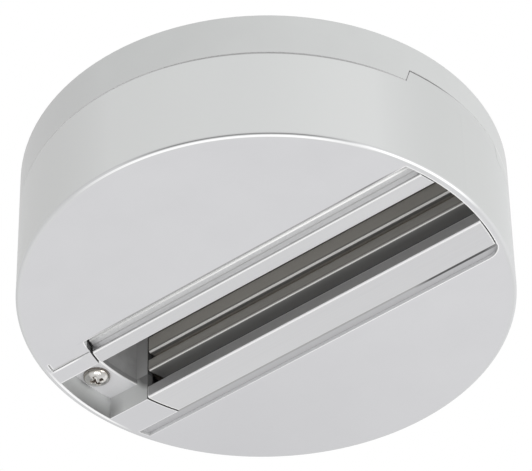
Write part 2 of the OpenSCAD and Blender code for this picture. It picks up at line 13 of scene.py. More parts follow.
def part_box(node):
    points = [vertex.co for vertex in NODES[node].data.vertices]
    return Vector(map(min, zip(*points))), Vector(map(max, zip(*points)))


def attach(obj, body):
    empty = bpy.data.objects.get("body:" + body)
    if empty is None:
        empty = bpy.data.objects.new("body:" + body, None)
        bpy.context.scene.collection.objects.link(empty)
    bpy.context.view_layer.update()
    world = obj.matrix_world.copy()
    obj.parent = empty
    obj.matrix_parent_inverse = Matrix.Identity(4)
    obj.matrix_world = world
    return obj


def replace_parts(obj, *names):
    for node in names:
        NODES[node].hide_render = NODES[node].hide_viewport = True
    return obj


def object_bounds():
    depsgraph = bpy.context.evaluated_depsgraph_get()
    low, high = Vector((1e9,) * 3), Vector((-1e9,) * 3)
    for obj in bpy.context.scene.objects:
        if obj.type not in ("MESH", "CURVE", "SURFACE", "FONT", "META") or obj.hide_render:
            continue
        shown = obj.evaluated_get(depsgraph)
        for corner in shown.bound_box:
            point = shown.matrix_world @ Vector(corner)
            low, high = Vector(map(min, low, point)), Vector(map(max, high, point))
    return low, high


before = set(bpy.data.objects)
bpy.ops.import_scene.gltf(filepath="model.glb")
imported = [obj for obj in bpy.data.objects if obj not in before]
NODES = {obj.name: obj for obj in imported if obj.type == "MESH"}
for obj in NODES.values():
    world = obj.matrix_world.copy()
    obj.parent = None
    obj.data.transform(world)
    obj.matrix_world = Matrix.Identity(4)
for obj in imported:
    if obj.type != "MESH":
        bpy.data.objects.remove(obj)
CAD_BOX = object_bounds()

Colour = tuple[float, float, float]
Span = tuple[float, float]
Place = tuple[float, float, float]
Corners = tuple[int, ...]
Socket = bpy.types.NodeSocket

LOG = logging.getLogger("ceiling_outlet")
BODY = "root"
MM = 0.001

# Directions in the row frame
DOWN: Place = (0.0, 0.0, -1.0)
FAR_END: Place = (1.0, 0.0, 0.0)
STEPPED_SIDE: Place = (0.0, -1.0, 0.0)

# Heights, radii and lengths that the finishes share, in millimetres
ROOM_FACE = -40.0
REBATE = -39.0
LEDGE = -37.6
SHELF = -33.4
SEAM = -12.93
TAB_SEAM = -8.93
WALL_R = 62.5
RAIL_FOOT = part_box("insulator_left")[0][2] / MM
SECOND_NOSE = RAIL_FOOT + 6.0
WHOLE_TRACK = 95.0

# Share of a painted edge highlight, painted cavity shade or painted patch, by how open the surface is or by
# the way that it faces
EDGE_SHARE = {0.70: 1.0, 0.92: 0.0}
CAVITY_SHARE = {0.05: 1.0, 0.55: 0.0}
FACING_SHARE = {0.25: 1.0, 0.4: 0.0}
ROOM_EDGE_END, SIDE_EDGE_START = 0.2, 0.3

# Detail of the finishes
MOTTLE_LOW, MOTTLE_HIGH = 0.3, 0.7
MOTTLE_DETAIL = 3.0
GRAIN_DETAIL = 2.0
OPENNESS_RAYS = 8
SOFT_EDGE = 0.2 * MM
SOFT_EDGE_RAYS = 6
ALL_ROUND = 180.0

# Sockets of Blender's mix node when it mixes colours
MIX_SHARE, MIX_FIRST, MIX_SECOND, MIX_RESULT = 0, 6, 7, 2


def grey(level: float) -> Colour:
    """Give a neutral grey."""
    return (level, level, level)


def heading(angle: float) -> Place:
    """Give the level direction at an angle from X, in degrees."""
    turn = math.radians(angle)
    return (round(math.cos(turn), 3), round(math.sin(turn), 3), 0.0)


class Grain(Enum):
    """How the fine structure of a surface runs, as the stretch of its pattern along X, Y and Z."""

    EVEN = (1.0, 1.0, 1.0)
    DRAWN = (0.015, 1.0, 1.0)
    TURNED = (1.0, 1.0, 0.2)


class Form(Enum):
    """Outline of a soft patch of colour."""

    ROUND = "round"
    BLOCK = "block"


class NodeBoard:
    """A material's node tree, with short calls to add nodes and join them."""

    def __init__(self, tree: bpy.types.NodeTree) -> None:
        """Keep the tree and clear it.

        Args:
            tree: The node tree of a material or world.
        """
        self.tree = tree
        tree.nodes.clear()

    def add(self, kind: str, **values: object) -> bpy.types.Node:
        """Add a node and set its properties.

        Args:
            kind: The node's type name.
            values: Properties of the node by name.

        Returns:
            The new node.
        """
        made = self.tree.nodes.new(kind)
        for name, value in values.items():
            setattr(made, name, value)
        return made

    def join(self, source: Socket, target: Socket) -> None:
        """Link an output socket to an input socket."""
        self.tree.links.new(source, target)

    def ramp(self, value: Socket, stops: dict[float, Colour]) -> Socket:
        """Add a ramp that turns a value into a colour.

        Args:
            value: The socket that gives the value, from 0 to 1.
            stops: Colour at each value, in rising order.

        Returns:
            The socket that gives the colour.
        """
        made = self.add("ShaderNodeValToRGB")
        elements = made.color_ramp.elements
        while len(elements) < len(stops):
            elements.new(1.0)
        for element, (place, colour) in zip(elements, stops.items()):
            element.position = place
            element.color = (*colour, 1.0)
        self.join(value, made.inputs["Fac"])
        return made.outputs["Color"]

    def mask(self, value: Socket, stops: dict[float, float]) -> Socket:
        """Add a ramp that turns a value into a share.

        Args:
            value: The socket that gives the value, from 0 to 1.
            stops: Share at each value, in rising order.

        Returns:
            The socket that gives the share.
        """
        return self.ramp(value, {place: grey(share) for place, share in stops.items()})

    def blend(self, share: Socket, colour: Socket, other: Socket | Colour) -> Socket:
        """Blend a colour towards a second one.

        Args:
            share: The socket that gives the second colour's share.
            colour: The socket that gives the first colour.
            other: The second colour, or the socket that gives it.

        Returns:
            The socket that gives the blended colour.
        """
        made = self.add("ShaderNodeMix", data_type="RGBA")
        self.join(share, made.inputs[MIX_SHARE])
        self.join(colour, made.inputs[MIX_FIRST])
        if isinstance(other, tuple):
            made.inputs[MIX_SECOND].default_value = (*other, 1.0)
        else:
            self.join(other, made.inputs[MIX_SECOND])
        return made.outputs[MIX_RESULT]

    def product(self, first: Socket, second: Socket) -> Socket:
        """Multiply two shares.

        Args:
            first: The socket that gives the first share.
            second: The socket that gives the second share.

        Returns:
            The socket that gives the product.
        """
        made = self.add("ShaderNodeMath", operation="MULTIPLY")
        self.join(first, made.inputs[0])
        self.join(second, made.inputs[1])
        return made.outputs["Value"]

    def facing(self, toward: Place) -> Socket:
        """Add the way that the surface faces: 0 towards a direction, 0.5 across it, 1 away from it.

        Args:
            toward: The direction, in the row frame, of length 1.

        Returns:
            The socket that gives the facing.
        """
        coordinates = self.add("ShaderNodeTexCoord")
        product = self.add("ShaderNodeVectorMath", operation="DOT_PRODUCT")
        product.inputs[1].default_value = toward
        self.join(coordinates.outputs["Normal"], product.inputs[0])
        spread = self.add("ShaderNodeMapRange")
        spread.inputs["From Min"].default_value = 1.0
        spread.inputs["From Max"].default_value = -1.0
        self.join(product.outputs["Value"], spread.inputs["Value"])
        return spread.outputs["Result"]


@dataclass(frozen=True)
class Strip:
    """A colour painted on the surfaces that face a certain way: painted light, painted shade and painted
    reflections by facing.

    Attributes:
        first: Facing where the strip begins: 0 is towards the direction, 0.5 across it, 1 away from it.
        last: Facing where the strip ends.
        colour: Colour of the strip.
        share: How far the strip covers the colour under it.
        blur: Width over which it fades at each side.
        toward: The direction, down to the room where none is given.
    """

    first: float
    last: float
    colour: Colour
    share: float = 0.92
    blur: float = 0.03
    toward: Place = DOWN

    def over(self, board: NodeBoard, colour: Socket) -> Socket:
        """Lay the strip over a colour.

        Args:
            board: The material's nodes.
            colour: The socket that gives the colour so far.

        Returns:
            The socket that gives the colour with the strip.
        """
        stops = {max(self.first - self.blur, 0.0): 0.0}
        stops[self.first] = self.share
        stops[self.last] = self.share
        stops[self.last + self.blur] = 0.0
        return board.blend(board.mask(board.facing(self.toward), stops), colour, self.colour)


@dataclass(frozen=True)
class Shade:
    """A soft patch of another colour round a place: painted shade, painted shadow lines and painted
    highlights.

    Attributes:
        centre: Middle of the patch in millimetres, in the row frame.
        reach: Half lengths of the patch along X, Y and Z, in millimetres.
        colour: Colour of the patch.
        share: How far the patch covers the colour under it.
        core: Part of the reach that it covers before it fades.
        form: Outline of the patch.
        faces: The way that the surfaces under it face, where it lies only on such surfaces.
    """

    centre: Place
    reach: Place
    colour: Colour
    share: float = 0.9
    core: float = 0.6
    form: Form = Form.ROUND
    faces: Place | None = None

    def over(self, board: NodeBoard, colour: Socket) -> Socket:
        """Lay the patch over a colour.

        Args:
            board: The material's nodes.
            colour: The socket that gives the colour so far.

        Returns:
            The socket that gives the colour with the patch.
        """
        coordinates = board.add("ShaderNodeTexCoord")
        mapping = board.add("ShaderNodeMapping", vector_type="TEXTURE")
        mapping.inputs["Location"].default_value = [part * MM for part in self.centre]
        mapping.inputs["Scale"].default_value = [part * MM for part in self.reach]
        board.join(coordinates.outputs["Object"], mapping.inputs["Vector"])
        distance = self.distance(board, mapping.outputs["Vector"])
        share = board.mask(distance, {self.core: self.share, 1.0: 0.0})
        if self.faces:
            share = board.product(share, board.mask(board.facing(self.faces), FACING_SHARE))
        return board.blend(share, colour, self.colour)

    def distance(self, board: NodeBoard, place: Socket) -> Socket:
        """Add the distance from the middle, 1 at the patch's border.

        Args:
            board: The material's nodes.
            place: The socket that gives the place, as shares of the reach.

        Returns:
            The socket that gives the distance.
        """
        if self.form is Form.ROUND:
            length = board.add("ShaderNodeVectorMath", operation="LENGTH")
            board.join(place, length.inputs[0])
            return length.outputs["Value"]
        size = board.add("ShaderNodeVectorMath", operation="ABSOLUTE")
        board.join(place, size.inputs[0])
        parts = board.add("ShaderNodeSeparateXYZ")
        board.join(size.outputs["Vector"], parts.inputs["Vector"])
        level = board.add("ShaderNodeMath", operation="MAXIMUM")
        board.join(parts.outputs["X"], level.inputs[0])
        board.join(parts.outputs["Y"], level.inputs[1])
        whole = board.add("ShaderNodeMath", operation="MAXIMUM")
        board.join(level.outputs["Value"], whole.inputs[0])
        board.join(parts.outputs["Z"], whole.inputs[1])
        return whole.outputs["Value"]


@dataclass(frozen=True)
class Ring:
    """A line of another colour round the outlet's axis: painted highlights, painted shade lines and painted
    light in gaps.

    Attributes:
        radius: Radius of the line in millimetres.
        height: Height of the line in millimetres, in the row frame.
        reach: Half width of the line in millimetres.
        colour: Colour of the line.
        middle: Angle from X to the line's middle, in degrees.
        spread: Angle from the middle at which the line has faded out, in degrees.
        share: How far the line covers the colour under it.
        core: Part of the reach that it covers before it fades.
    """

    radius: float
    height: float
    reach: float
    colour: Colour
    middle: float = 0.0
    spread: float = ALL_ROUND
    share: float = 0.95
    core: float = 0.6

    def over(self, board: NodeBoard, colour: Socket) -> Socket:
        """Lay the line over a colour.

        Args:
            board: The material's nodes.
            colour: The socket that gives the colour so far.

        Returns:
            The socket that gives the colour with the line.
        """
        place = board.add("ShaderNodeTexCoord").outputs["Object"]
        parts = board.add("ShaderNodeSeparateXYZ")
        board.join(place, parts.inputs["Vector"])
        flat = board.add("ShaderNodeVectorMath", operation="MULTIPLY")
        flat.inputs[1].default_value = (1.0, 1.0, 0.0)
        board.join(place, flat.inputs[0])
        out = board.add("ShaderNodeVectorMath", operation="LENGTH")
        board.join(flat.outputs["Vector"], out.inputs[0])
        section = board.add("ShaderNodeCombineXYZ")
        board.join(out.outputs["Value"], section.inputs["X"])
        board.join(parts.outputs["Z"], section.inputs["Y"])
        mapping = board.add("ShaderNodeMapping", vector_type="TEXTURE")
        mapping.inputs["Location"].default_value = (self.radius * MM, self.height * MM, 0.0)
        mapping.inputs["Scale"].default_value = (self.reach * MM, self.reach * MM, 1.0)
        board.join(section.outputs["Vector"], mapping.inputs["Vector"])
        distance = board.add("ShaderNodeVectorMath", operation="LENGTH")
        board.join(mapping.outputs["Vector"], distance.inputs[0])
        share = board.mask(distance.outputs["Value"], {self.core: self.share, 1.0: 0.0})
        if self.spread < ALL_ROUND:
            share = board.product(share, self.fade(board, place))
        return board.blend(share, colour, self.colour)

    def fade(self, board: NodeBoard, place: Socket) -> Socket:
        """Add the fade of the line away from its middle.

        Args:
            board: The material's nodes.
            place: The socket that gives the place.

        Returns:
            The socket that gives the fade: 1 near the middle, 0 past the spread.
        """
        middle, spread = math.radians(self.middle), math.radians(self.spread)
        toward = board.add("ShaderNodeVectorMath", operation="DOT_PRODUCT")
        toward.inputs[1].default_value = (math.cos(middle), math.sin(middle), 0.0)
        board.join(place, toward.inputs[0])
        made = board.add("ShaderNodeMapRange")
        made.inputs["From Min"].default_value = self.radius * MM * math.cos(spread)
        made.inputs["From Max"].default_value = self.radius * MM * math.cos(spread / 2)
        board.join(toward.outputs["Value"], made.inputs["Value"])
        return made.outputs["Result"]


@dataclass(frozen=True)
class Finish:
    """A surface finish with mottled colour, painted light and shade by facing, on edges, in cavities and in
    patches, uneven gloss and a fine bump.

    Attributes:
        name: Name of the material.
        slot: Name of the material slot that it stands for; not used.
        dark: Colour at the pattern's low points.
        light: Colour at the pattern's high points.
        metallic: Share of metal, from 0 to 1.
        gloss: Lowest and highest roughness.
        grain: How the pattern runs.
        grain_size: Size of the fine pattern, in metres.
        bump_height: Height of the fine bump, in metres.
        mottle_size: Size of the colour pattern, in metres.
        edge: Colour painted on the outer edges of surfaces that face the room: a painted highlight where
            lighter than the surface, painted shade where darker.
        side_edge: Colour painted on the outer edges of the other surfaces: a painted highlight where lighter
            than the surface, painted shade where darker.
        edge_reach: Width over which the outer edges change colour, in metres.
        cavity: Painted shade colour in narrow gaps and inner corners.
        cavity_reach: Width over which the painted shade in the gaps reaches, in metres.
        strips: Painted light, shade and reflections on the surfaces that face certain ways.
        shades: Soft patches and lines of painted shade and painted highlight.
    """

    name: str
    slot: str
    dark: Colour
    light: Colour
    metallic: float = 0.0
    gloss: Span = (0.4, 0.5)
    grain: Grain = Grain.EVEN
    grain_size: float = 0.4 * MM
    bump_height: float = 0.006 * MM
    mottle_size: float = 8.0 * MM
    edge: Colour = grey(0.8)
    side_edge: Colour = grey(0.8)
    edge_reach: float = 0.25 * MM
    cavity: Colour = grey(0.1)
    cavity_reach: float = 1.0 * MM
    strips: tuple[Strip, ...] = ()
    shades: tuple[Shade | Ring, ...] = ()

    def material(self) -> bpy.types.Material:
        """Make the material, or give the one that was made before.

        Returns:
            The node material of this finish.
        """
        made = bpy.data.materials.get(self.name)
        if made:
            return made
        made = bpy.data.materials.new(self.name)
        made.use_nodes = True
        board = NodeBoard(made.node_tree)
        output = board.add("ShaderNodeOutputMaterial")
        shader = board.add("ShaderNodeBsdfPrincipled")
        shader.inputs["Metallic"].default_value = self.metallic
        board.join(shader.outputs["BSDF"], output.inputs["Surface"])
        place = self.stretched_place(board)
        board.join(self.colour(board, place), shader.inputs["Base Color"])
        self.surface(board, place, shader)
        return made

    def stretched_place(self, board: NodeBoard) -> Socket:
        """Add the coordinates in the object's own frame, stretched along the grain.

        Args:
            board: The material's nodes.

        Returns:
            The socket that gives the stretched place.
        """
        coordinates = board.add("ShaderNodeTexCoord")
        mapping = board.add("ShaderNodeMapping")
        mapping.inputs["Scale"].default_value = self.grain.value
        board.join(coordinates.outputs["Object"], mapping.inputs["Vector"])
        return mapping.outputs["Vector"]

    def noise(self, board: NodeBoard, place: Socket, size: float, detail: float) -> Socket:
        """Add a noise pattern.

        Args:
            board: The material's nodes.
            place: The socket that gives the place.
            size: Size of the pattern in metres.
            detail: Octaves of detail.

        Returns:
            The socket that gives the pattern, from 0 to 1.
        """
        made = board.add("ShaderNodeTexNoise")
        made.inputs["Scale"].default_value = 1.0 / size
        made.inputs["Detail"].default_value = detail
        board.join(place, made.inputs["Vector"])
        return made.outputs["Fac"]

    def colour(self, board: NodeBoard, place: Socket) -> Socket:
        """Add the mottled colour, then the painted light and shade over it: strips by facing, cavity shade,
        edge highlights and patches.

        Args:
            board: The material's nodes.
            place: The socket that gives the place.

        Returns:
            The socket that gives the colour.
        """
        mottle = self.noise(board, place, self.mottle_size, MOTTLE_DETAIL)
        colour = board.ramp(mottle, {MOTTLE_LOW: self.dark, MOTTLE_HIGH: self.light})
        for strip in self.strips:
            colour = strip.over(board, colour)
        colour = self.with_cavities(board, colour)
        colour = self.with_edges(board, colour)
        for shade in self.shades:
            colour = shade.over(board, colour)
        return colour

    def with_edges(self, board: NodeBoard, colour: Socket) -> Socket:
        """Paint highlights on the outer edges, found by how much of the solid lies behind the surface; where
        the edge colour is darker than the surface it is painted shade.

        Args:
            board: The material's nodes.
            colour: The socket that gives the colour so far.

        Returns:
            The socket that gives the colour with its edges.
        """
        behind = board.add("ShaderNodeAmbientOcclusion", samples=OPENNESS_RAYS, inside=True, only_local=True)
        behind.inputs["Distance"].default_value = self.edge_reach
        share = board.mask(behind.outputs["AO"], EDGE_SHARE)
        edges = board.ramp(board.facing(DOWN), {ROOM_EDGE_END: self.edge, SIDE_EDGE_START: self.side_edge})
        return board.blend(share, colour, edges)

    def with_cavities(self, board: NodeBoard, colour: Socket) -> Socket:
        """Darken narrow gaps and inner corners with painted shade.

        Args:
            board: The material's nodes.
            colour: The socket that gives the colour so far.

        Returns:
            The socket that gives the colour with its cavities.
        """
        around = board.add("ShaderNodeAmbientOcclusion", samples=OPENNESS_RAYS)
        around.inputs["Distance"].default_value = self.cavity_reach
        share = board.mask(around.outputs["AO"], CAVITY_SHARE)
        return board.blend(share, colour, self.cavity)

    def surface(self, board: NodeBoard, place: Socket, shader: bpy.types.Node) -> None:
        """Add the uneven gloss and the fine bump over softened edges.

        Args:
            board: The material's nodes.
            place: The socket that gives the place.
            shader: The surface shader.
        """
        fine = self.noise(board, place, self.grain_size, GRAIN_DETAIL)
        spread = board.add("ShaderNodeMapRange")
        spread.inputs["To Min"].default_value = self.gloss[0]
        spread.inputs["To Max"].default_value = self.gloss[1]
        board.join(fine, spread.inputs["Value"])
        board.join(spread.outputs["Result"], shader.inputs["Roughness"])
        soft = board.add("ShaderNodeBevel", samples=SOFT_EDGE_RAYS)
        soft.inputs["Radius"].default_value = SOFT_EDGE
        bump = board.add("ShaderNodeBump")
        bump.inputs["Distance"].default_value = self.bump_height
        board.join(fine, bump.inputs["Height"])
        board.join(soft.outputs["Normal"], bump.inputs["Normal"])
        board.join(bump.outputs["Normal"], shader.inputs["Normal"])


def track_line(y: float, z: float, half_w: float, half_h: float, colour: Colour, **fade: float) -> Shade:
    """Give a straight line of painted colour along the whole track, for painted highlights and painted shade
    lines.

    Args:
        y: Place across the track, in millimetres.
        z: Height in millimetres.
        half_w: Half of its width, in millimetres.
        half_h: Half of its height, in millimetres.
        colour: Colour of the line.
        fade: Share and core of the line, where they aren't those of every patch.

    Returns:
        The line as a patch of colour.
    """
    return Shade((0.0, y, z), (WHOLE_TRACK, half_w, half_h), colour, form=Form.BLOCK, **fade)


# Painted light in the seam and tab gaps and over the seam and the tab's top, which pales the gaps' shade
# away from where they show dark
SEAM_GAP_PAINTED_LIGHT = (
    Ring(61.9, SEAM, 0.58, grey(0.9), core=0.8),
    Ring(WALL_R, SEAM, 0.17, grey(0.78), middle=-115, spread=40, core=0.7),
    Ring(WALL_R, SEAM, 0.17, grey(0.78), middle=45, spread=30, core=0.7),
    Ring(61.9, TAB_SEAM, 0.58, grey(0.9), middle=15, spread=21, core=0.8),
    Ring(WALL_R, TAB_SEAM, 0.17, grey(0.78), middle=15, spread=21, core=0.7),
)
SATIN_SILVER = Finish(
    "satin_silver_cover", "housing", (0.593, 0.593, 0.607), (0.608, 0.608, 0.622),
    gloss=(0.36, 0.46), grain_size=0.5 * MM, mottle_size=12 * MM,
    edge=grey(0.93), side_edge=grey(0.58), edge_reach=0.5 * MM, cavity=(0.40, 0.40, 0.41),
    # Painted light and shade by facing: a greener tone on the side walls, walls facing round -85 and -35
    # degrees lighter, walls facing round -125 degrees and towards the far end darker
    strips=(
        Strip(0.42, 0.58, (0.592, 0.610, 0.602), share=0.6),
        Strip(0.0, 0.0, (0.70, 0.71, 0.705), blur=0.15, toward=heading(-85)),
        Strip(0.0, 0.0, (0.66, 0.67, 0.665), blur=0.05, toward=heading(-35)),
        Strip(0.0, 0.0, (0.565, 0.57, 0.566), blur=0.1, toward=heading(-125)),
        Strip(0.0, 0.005, (0.555, 0.565, 0.56), blur=0.045, toward=FAR_END),
    ),
    shades=(
        # Rim: its own colour over the rounding, then painted highlights along the rounding and a painted
        # shade line beside them
        Ring(62.1, -39.8, 0.8, (0.60, 0.605, 0.61), share=1.0, core=0.85),
        Ring(62.0, -39.98, 0.36, grey(0.97), middle=-62, spread=38),
        Ring(62.25, -39.8, 0.35, grey(0.97), middle=-14, spread=19),
        Ring(62.47, -39.58, 0.22, grey(0.2), middle=-57, spread=29, core=0.5),
        # Seam and tab: painted light in the gaps, then painted shade along the seam and the tab's top where
        # they show dark
        *SEAM_GAP_PAINTED_LIGHT,
        Shade((42.6, -45.7, -13.1), (34, 34, 0.35), grey(0.36)),
        Shade((60.9, -14.1, -9.05), (12, 12, 0.32), grey(0.06), core=0.5),
        # Room face and slot: painted shade darkening the face towards one side, painted shade lines along
        # the slot's edge by the ledge, painted shade on the rebate's floor with a darker line beside the
        # flange, and painted light on the rebate's far wall
        Shade((-50, 40, ROOM_FACE), (75, 60, 4), (0.53, 0.53, 0.545), share=0.75, core=0.0, faces=DOWN),
        Shade((5, -18.6, ROOM_FACE), (52, 0.27, 0.5), grey(0.24), share=0.85, core=0.7, form=Form.BLOCK),
        Shade((47, -18.7, ROOM_FACE), (11, 0.3, 0.5), grey(0.10), share=0.8, core=0.3),
        Shade((0, 20.0, REBATE), (58, 2.2, 0.45), (0.45, 0.45, 0.46), core=0.97, form=Form.BLOCK),
        Shade((0, 21.65, -39.5), (57, 0.45, 0.47), (0.76, 0.76, 0.77), core=0.95, form=Form.BLOCK),
        Shade((0, 19.35, REBATE), (58, 0.3, 0.3), grey(0.36), core=0.8, form=Form.BLOCK),
        Shade((45, 19.4, REBATE), (13.5, 0.5, 0.3), grey(0.02), core=0.6, form=Form.BLOCK),
        # Gap at the track's near end: painted shade on the faces inside it and behind the track's end, and
        # the end plate's edge put back to its own colour. The line beside the end plate: its groove's inside
        # a plain mid grey, with a painted shade band and a painted highlight beside it
        Shade((-45.5, 14, REBATE), (4, 5.5, 1.05), grey(0.03), core=0.9, form=Form.BLOCK, faces=FAR_END),
        Shade((-46, -12.5, -38.5), (4, 4.0, 1.55), grey(0.03), core=0.9, form=Form.BLOCK, faces=FAR_END),
        Shade((-47.4, -13, ROOM_FACE), (3.2, 5, 0.2), (0.60, 0.60, 0.61), share=0.8, core=0.8),
        Shade((-47, 12, -34.5), (2, 6, 5.5), grey(0.12), core=0.8, form=Form.BLOCK, faces=FAR_END),
        Shade((-54.5, -15.5, -39.8), (7, 2.9, 0.18), grey(0.52), core=0.9, form=Form.BLOCK),
        Shade((-54.2, -15.0, ROOM_FACE), (5.6, 0.3, 0.1), grey(0.50), core=0.5, form=Form.BLOCK),
        Shade((-54.2, -14.05, ROOM_FACE), (5.6, 0.3, 0.1), grey(0.92), core=0.5, form=Form.BLOCK),
        # Pocket and shelf: painted shade on the pocket's walls, deepest near the room face and towards the
        # track's end, painted light on the shelf, painted shade on the shelf's edge face, and painted
        # highlights along the shelf's edge and the pocket's rim
        Shade((-60.5, 5, -41), (12, 20, 6.2), grey(0.16), share=0.92, core=0.1, faces=FAR_END),
        Shade((-56, 0, SHELF), (7, 11, 0.6), (0.68, 0.68, 0.69), core=0.9, faces=DOWN),
        Shade((-59.5, 9.5, -38.5), (4.5, 3, 5.5), grey(0.39), core=0.2, faces=STEPPED_SIDE),
        Shade((-46.5, 9.5, -29), (5, 4, 8), grey(0.235), share=1.0, core=0.75, faces=STEPPED_SIDE),
        Shade((-50.9, 0, -31.9), (1.6, 14, 1.6), grey(0.2), core=0.9, faces=FAR_END),
        Ring(51.9, SHELF, 0.4, grey(0.95), middle=190, spread=16),
        Ring(61.1, ROOM_FACE, 0.35, grey(0.95), middle=180, spread=16),
    ),
)
SATIN_SILVER_BASE = Finish(
    "satin_silver_base", "housing", (0.582, 0.592, 0.588), (0.598, 0.608, 0.604),
    gloss=(0.36, 0.46), grain_size=0.5 * MM, mottle_size=12 * MM,
    edge=grey(0.60), side_edge=grey(0.57), edge_reach=0.3 * MM, cavity=grey(0.40),
    # Painted shade on the walls facing round -125 degrees
    strips=(Strip(0.0, 0.0, (0.53, 0.532, 0.531), blur=0.09, toward=heading(-125)),),
    shades=SEAM_GAP_PAINTED_LIGHT,
)
ANODISED = Finish(
    "satin_anodised_aluminium", "track_aluminium", (0.66, 0.66, 0.67), (0.68, 0.68, 0.69),
    metallic=0.85, gloss=(0.32, 0.42), grain=Grain.DRAWN, grain_size=0.2 * MM, bump_height=0.002 * MM,
    mottle_size=0.5 * MM, edge=(0.97, 0.97, 0.96), side_edge=grey(0.9), edge_reach=0.45 * MM,
    cavity=(0.25, 0.25, 0.26),
    # Painted light on the sideways surfaces, such as the lips' inner faces and the step wall
    strips=(Strip(0.4, 0.6, (0.74, 0.74, 0.75)),),
    shades=(
        # Plain flange: painted shade along its outer edge, darkest at the far end, and painted highlights
        # along the lip's edge and the lip's back edge
        Shade((0, 18.35, ROOM_FACE), (WHOLE_TRACK, 0.35, 1.0), grey(0.38)),
        Shade((56, 18.35, ROOM_FACE), (26, 0.35, 1.0), grey(0.05), core=0.5),
        track_line(9.3, ROOM_FACE, 0.28, 0.25, grey(0.97), core=0.8),
        Shade((0, 9.1, -36.4), (60, 0.5, 0.2), grey(0.9), core=0.5),
        # Stepped flange and ledge: painted light at the flange's far end and on the ledge, a painted
        # highlight on the step's edge, painted shade lines down the step wall and at its foot
        Shade((45, -11.5, ROOM_FACE), (35, 3, 1), (0.71, 0.71, 0.72), share=0.8, core=0.3),
        track_line(-13.6, ROOM_FACE, 0.3, 0.25, grey(0.97), core=0.8),
        track_line(-13.8, -39.6, 0.2, 0.28, grey(0.40)),
        track_line(-13.8, -37.7, 0.25, 0.25, grey(0.60)),
        track_line(-15.7, LEDGE, 1.85, 0.1, grey(0.84), core=0.95),
        # Locking groove behind the plain flange's near end: painted shade
        Shade((-46, 11, -34), (16, 5, 3.2), grey(0.25), share=0.8, core=0.2),
    ),
)
# The ledge bead in near-white aluminium, a painted highlight: the track's aluminium made much lighter so
# that the bead reads as a bright line
PAINTED_BEAD_HIGHLIGHT = Finish(
    "bead_painted_highlight", "track_aluminium", (0.95, 0.95, 0.94), (0.98, 0.98, 0.97),
    metallic=0.1, gloss=(0.42, 0.52), grain=Grain.DRAWN, grain_size=0.2 * MM, bump_height=0.001 * MM,
    mottle_size=0.5 * MM, edge=(0.97, 0.97, 0.96), side_edge=(0.97, 0.97, 0.96), cavity=grey(0.8),
    cavity_reach=0.3 * MM,
)
RAIL_PLASTIC = Finish(
    "rail_plastic", "insulator", (0.36, 0.348, 0.325), (0.41, 0.398, 0.372),
    gloss=(0.4, 0.55), grain=Grain.DRAWN, grain_size=0.2 * MM, mottle_size=1.5 * MM,
    edge=(0.2, 0.2, 0.19), side_edge=(0.5, 0.49, 0.47), cavity=(0.22, 0.215, 0.205),
    # Painted shade on the undersides that face the room, and painted highlights on the noses' bevels
    strips=(
        Strip(0.0, 0.04, (0.20, 0.20, 0.195)),
        Strip(0.11, 0.19, (0.98, 0.97, 0.94), share=1.0),
    ),
    shades=(
        # Ribs, from just above the first nose: painted shade over the top of the first nose's highlight,
        # painted light on the rib above the second nose, painted shade over the top of the second nose
        track_line(0.0, RAIL_FOOT + 0.55, 12, 0.33, (0.27, 0.262, 0.245), share=0.95, core=0.8),
        track_line(0.0, SECOND_NOSE + 3.0, 15, 2.5, (0.54, 0.52, 0.48), core=0.9),
        track_line(0.0, SECOND_NOSE + 0.72, 12, 0.3, (0.33, 0.32, 0.30), core=0.8),
        # Back of the slots under the second ribs: painted light
        *(track_line(y, SECOND_NOSE, 0.65, 0.1, (0.44, 0.42, 0.39), core=0.7) for y in (11.1, -11.1)),
    ),
)
BLOCK_PLASTIC = Finish(
    "grey_block_plastic", "insulator", grey(0.31), grey(0.35),
    gloss=(0.4, 0.55), grain_size=0.3 * MM, mottle_size=2.0 * MM,
    edge=grey(0.36), side_edge=grey(0.36), cavity=grey(0.30),
    # Painted light on faces towards the stepped side, painted shade on faces towards the far end
    strips=(Strip(0.0, 0.1, grey(0.52), blur=0.1, toward=STEPPED_SIDE),),
    shades=(Shade((-46.9, 11, -26), (2, 4, 9), grey(0.07), core=0.8, faces=FAR_END),),
)
AGED_COPPER = Finish(
    "aged_copper", "copper", (0.46, 0.40, 0.35), (0.56, 0.49, 0.43),
    metallic=0.3, gloss=(0.3, 0.45), grain=Grain.DRAWN, grain_size=0.1 * MM, mottle_size=1.0 * MM,
    edge=(0.58, 0.50, 0.44), side_edge=(0.58, 0.50, 0.44), cavity=(0.38, 0.33, 0.29),
)
PALE_PLASTIC = Finish(
    "pale_moulded_plastic", "pale_plastic", (0.60, 0.60, 0.585), (0.66, 0.66, 0.645),
    gloss=(0.42, 0.55), grain_size=0.3 * MM, mottle_size=5 * MM, cavity=(0.3, 0.3, 0.29),
)
YELLOW_BRASS = Finish(
    "turned_brass", "brass", (0.62, 0.47, 0.21), (0.74, 0.58, 0.29),
    metallic=1.0, gloss=(0.22, 0.36), grain=Grain.TURNED, grain_size=0.15 * MM, mottle_size=1.2 * MM,
    edge=(0.85, 0.72, 0.45), side_edge=(0.85, 0.72, 0.45), cavity=(0.16, 0.11, 0.05),
)
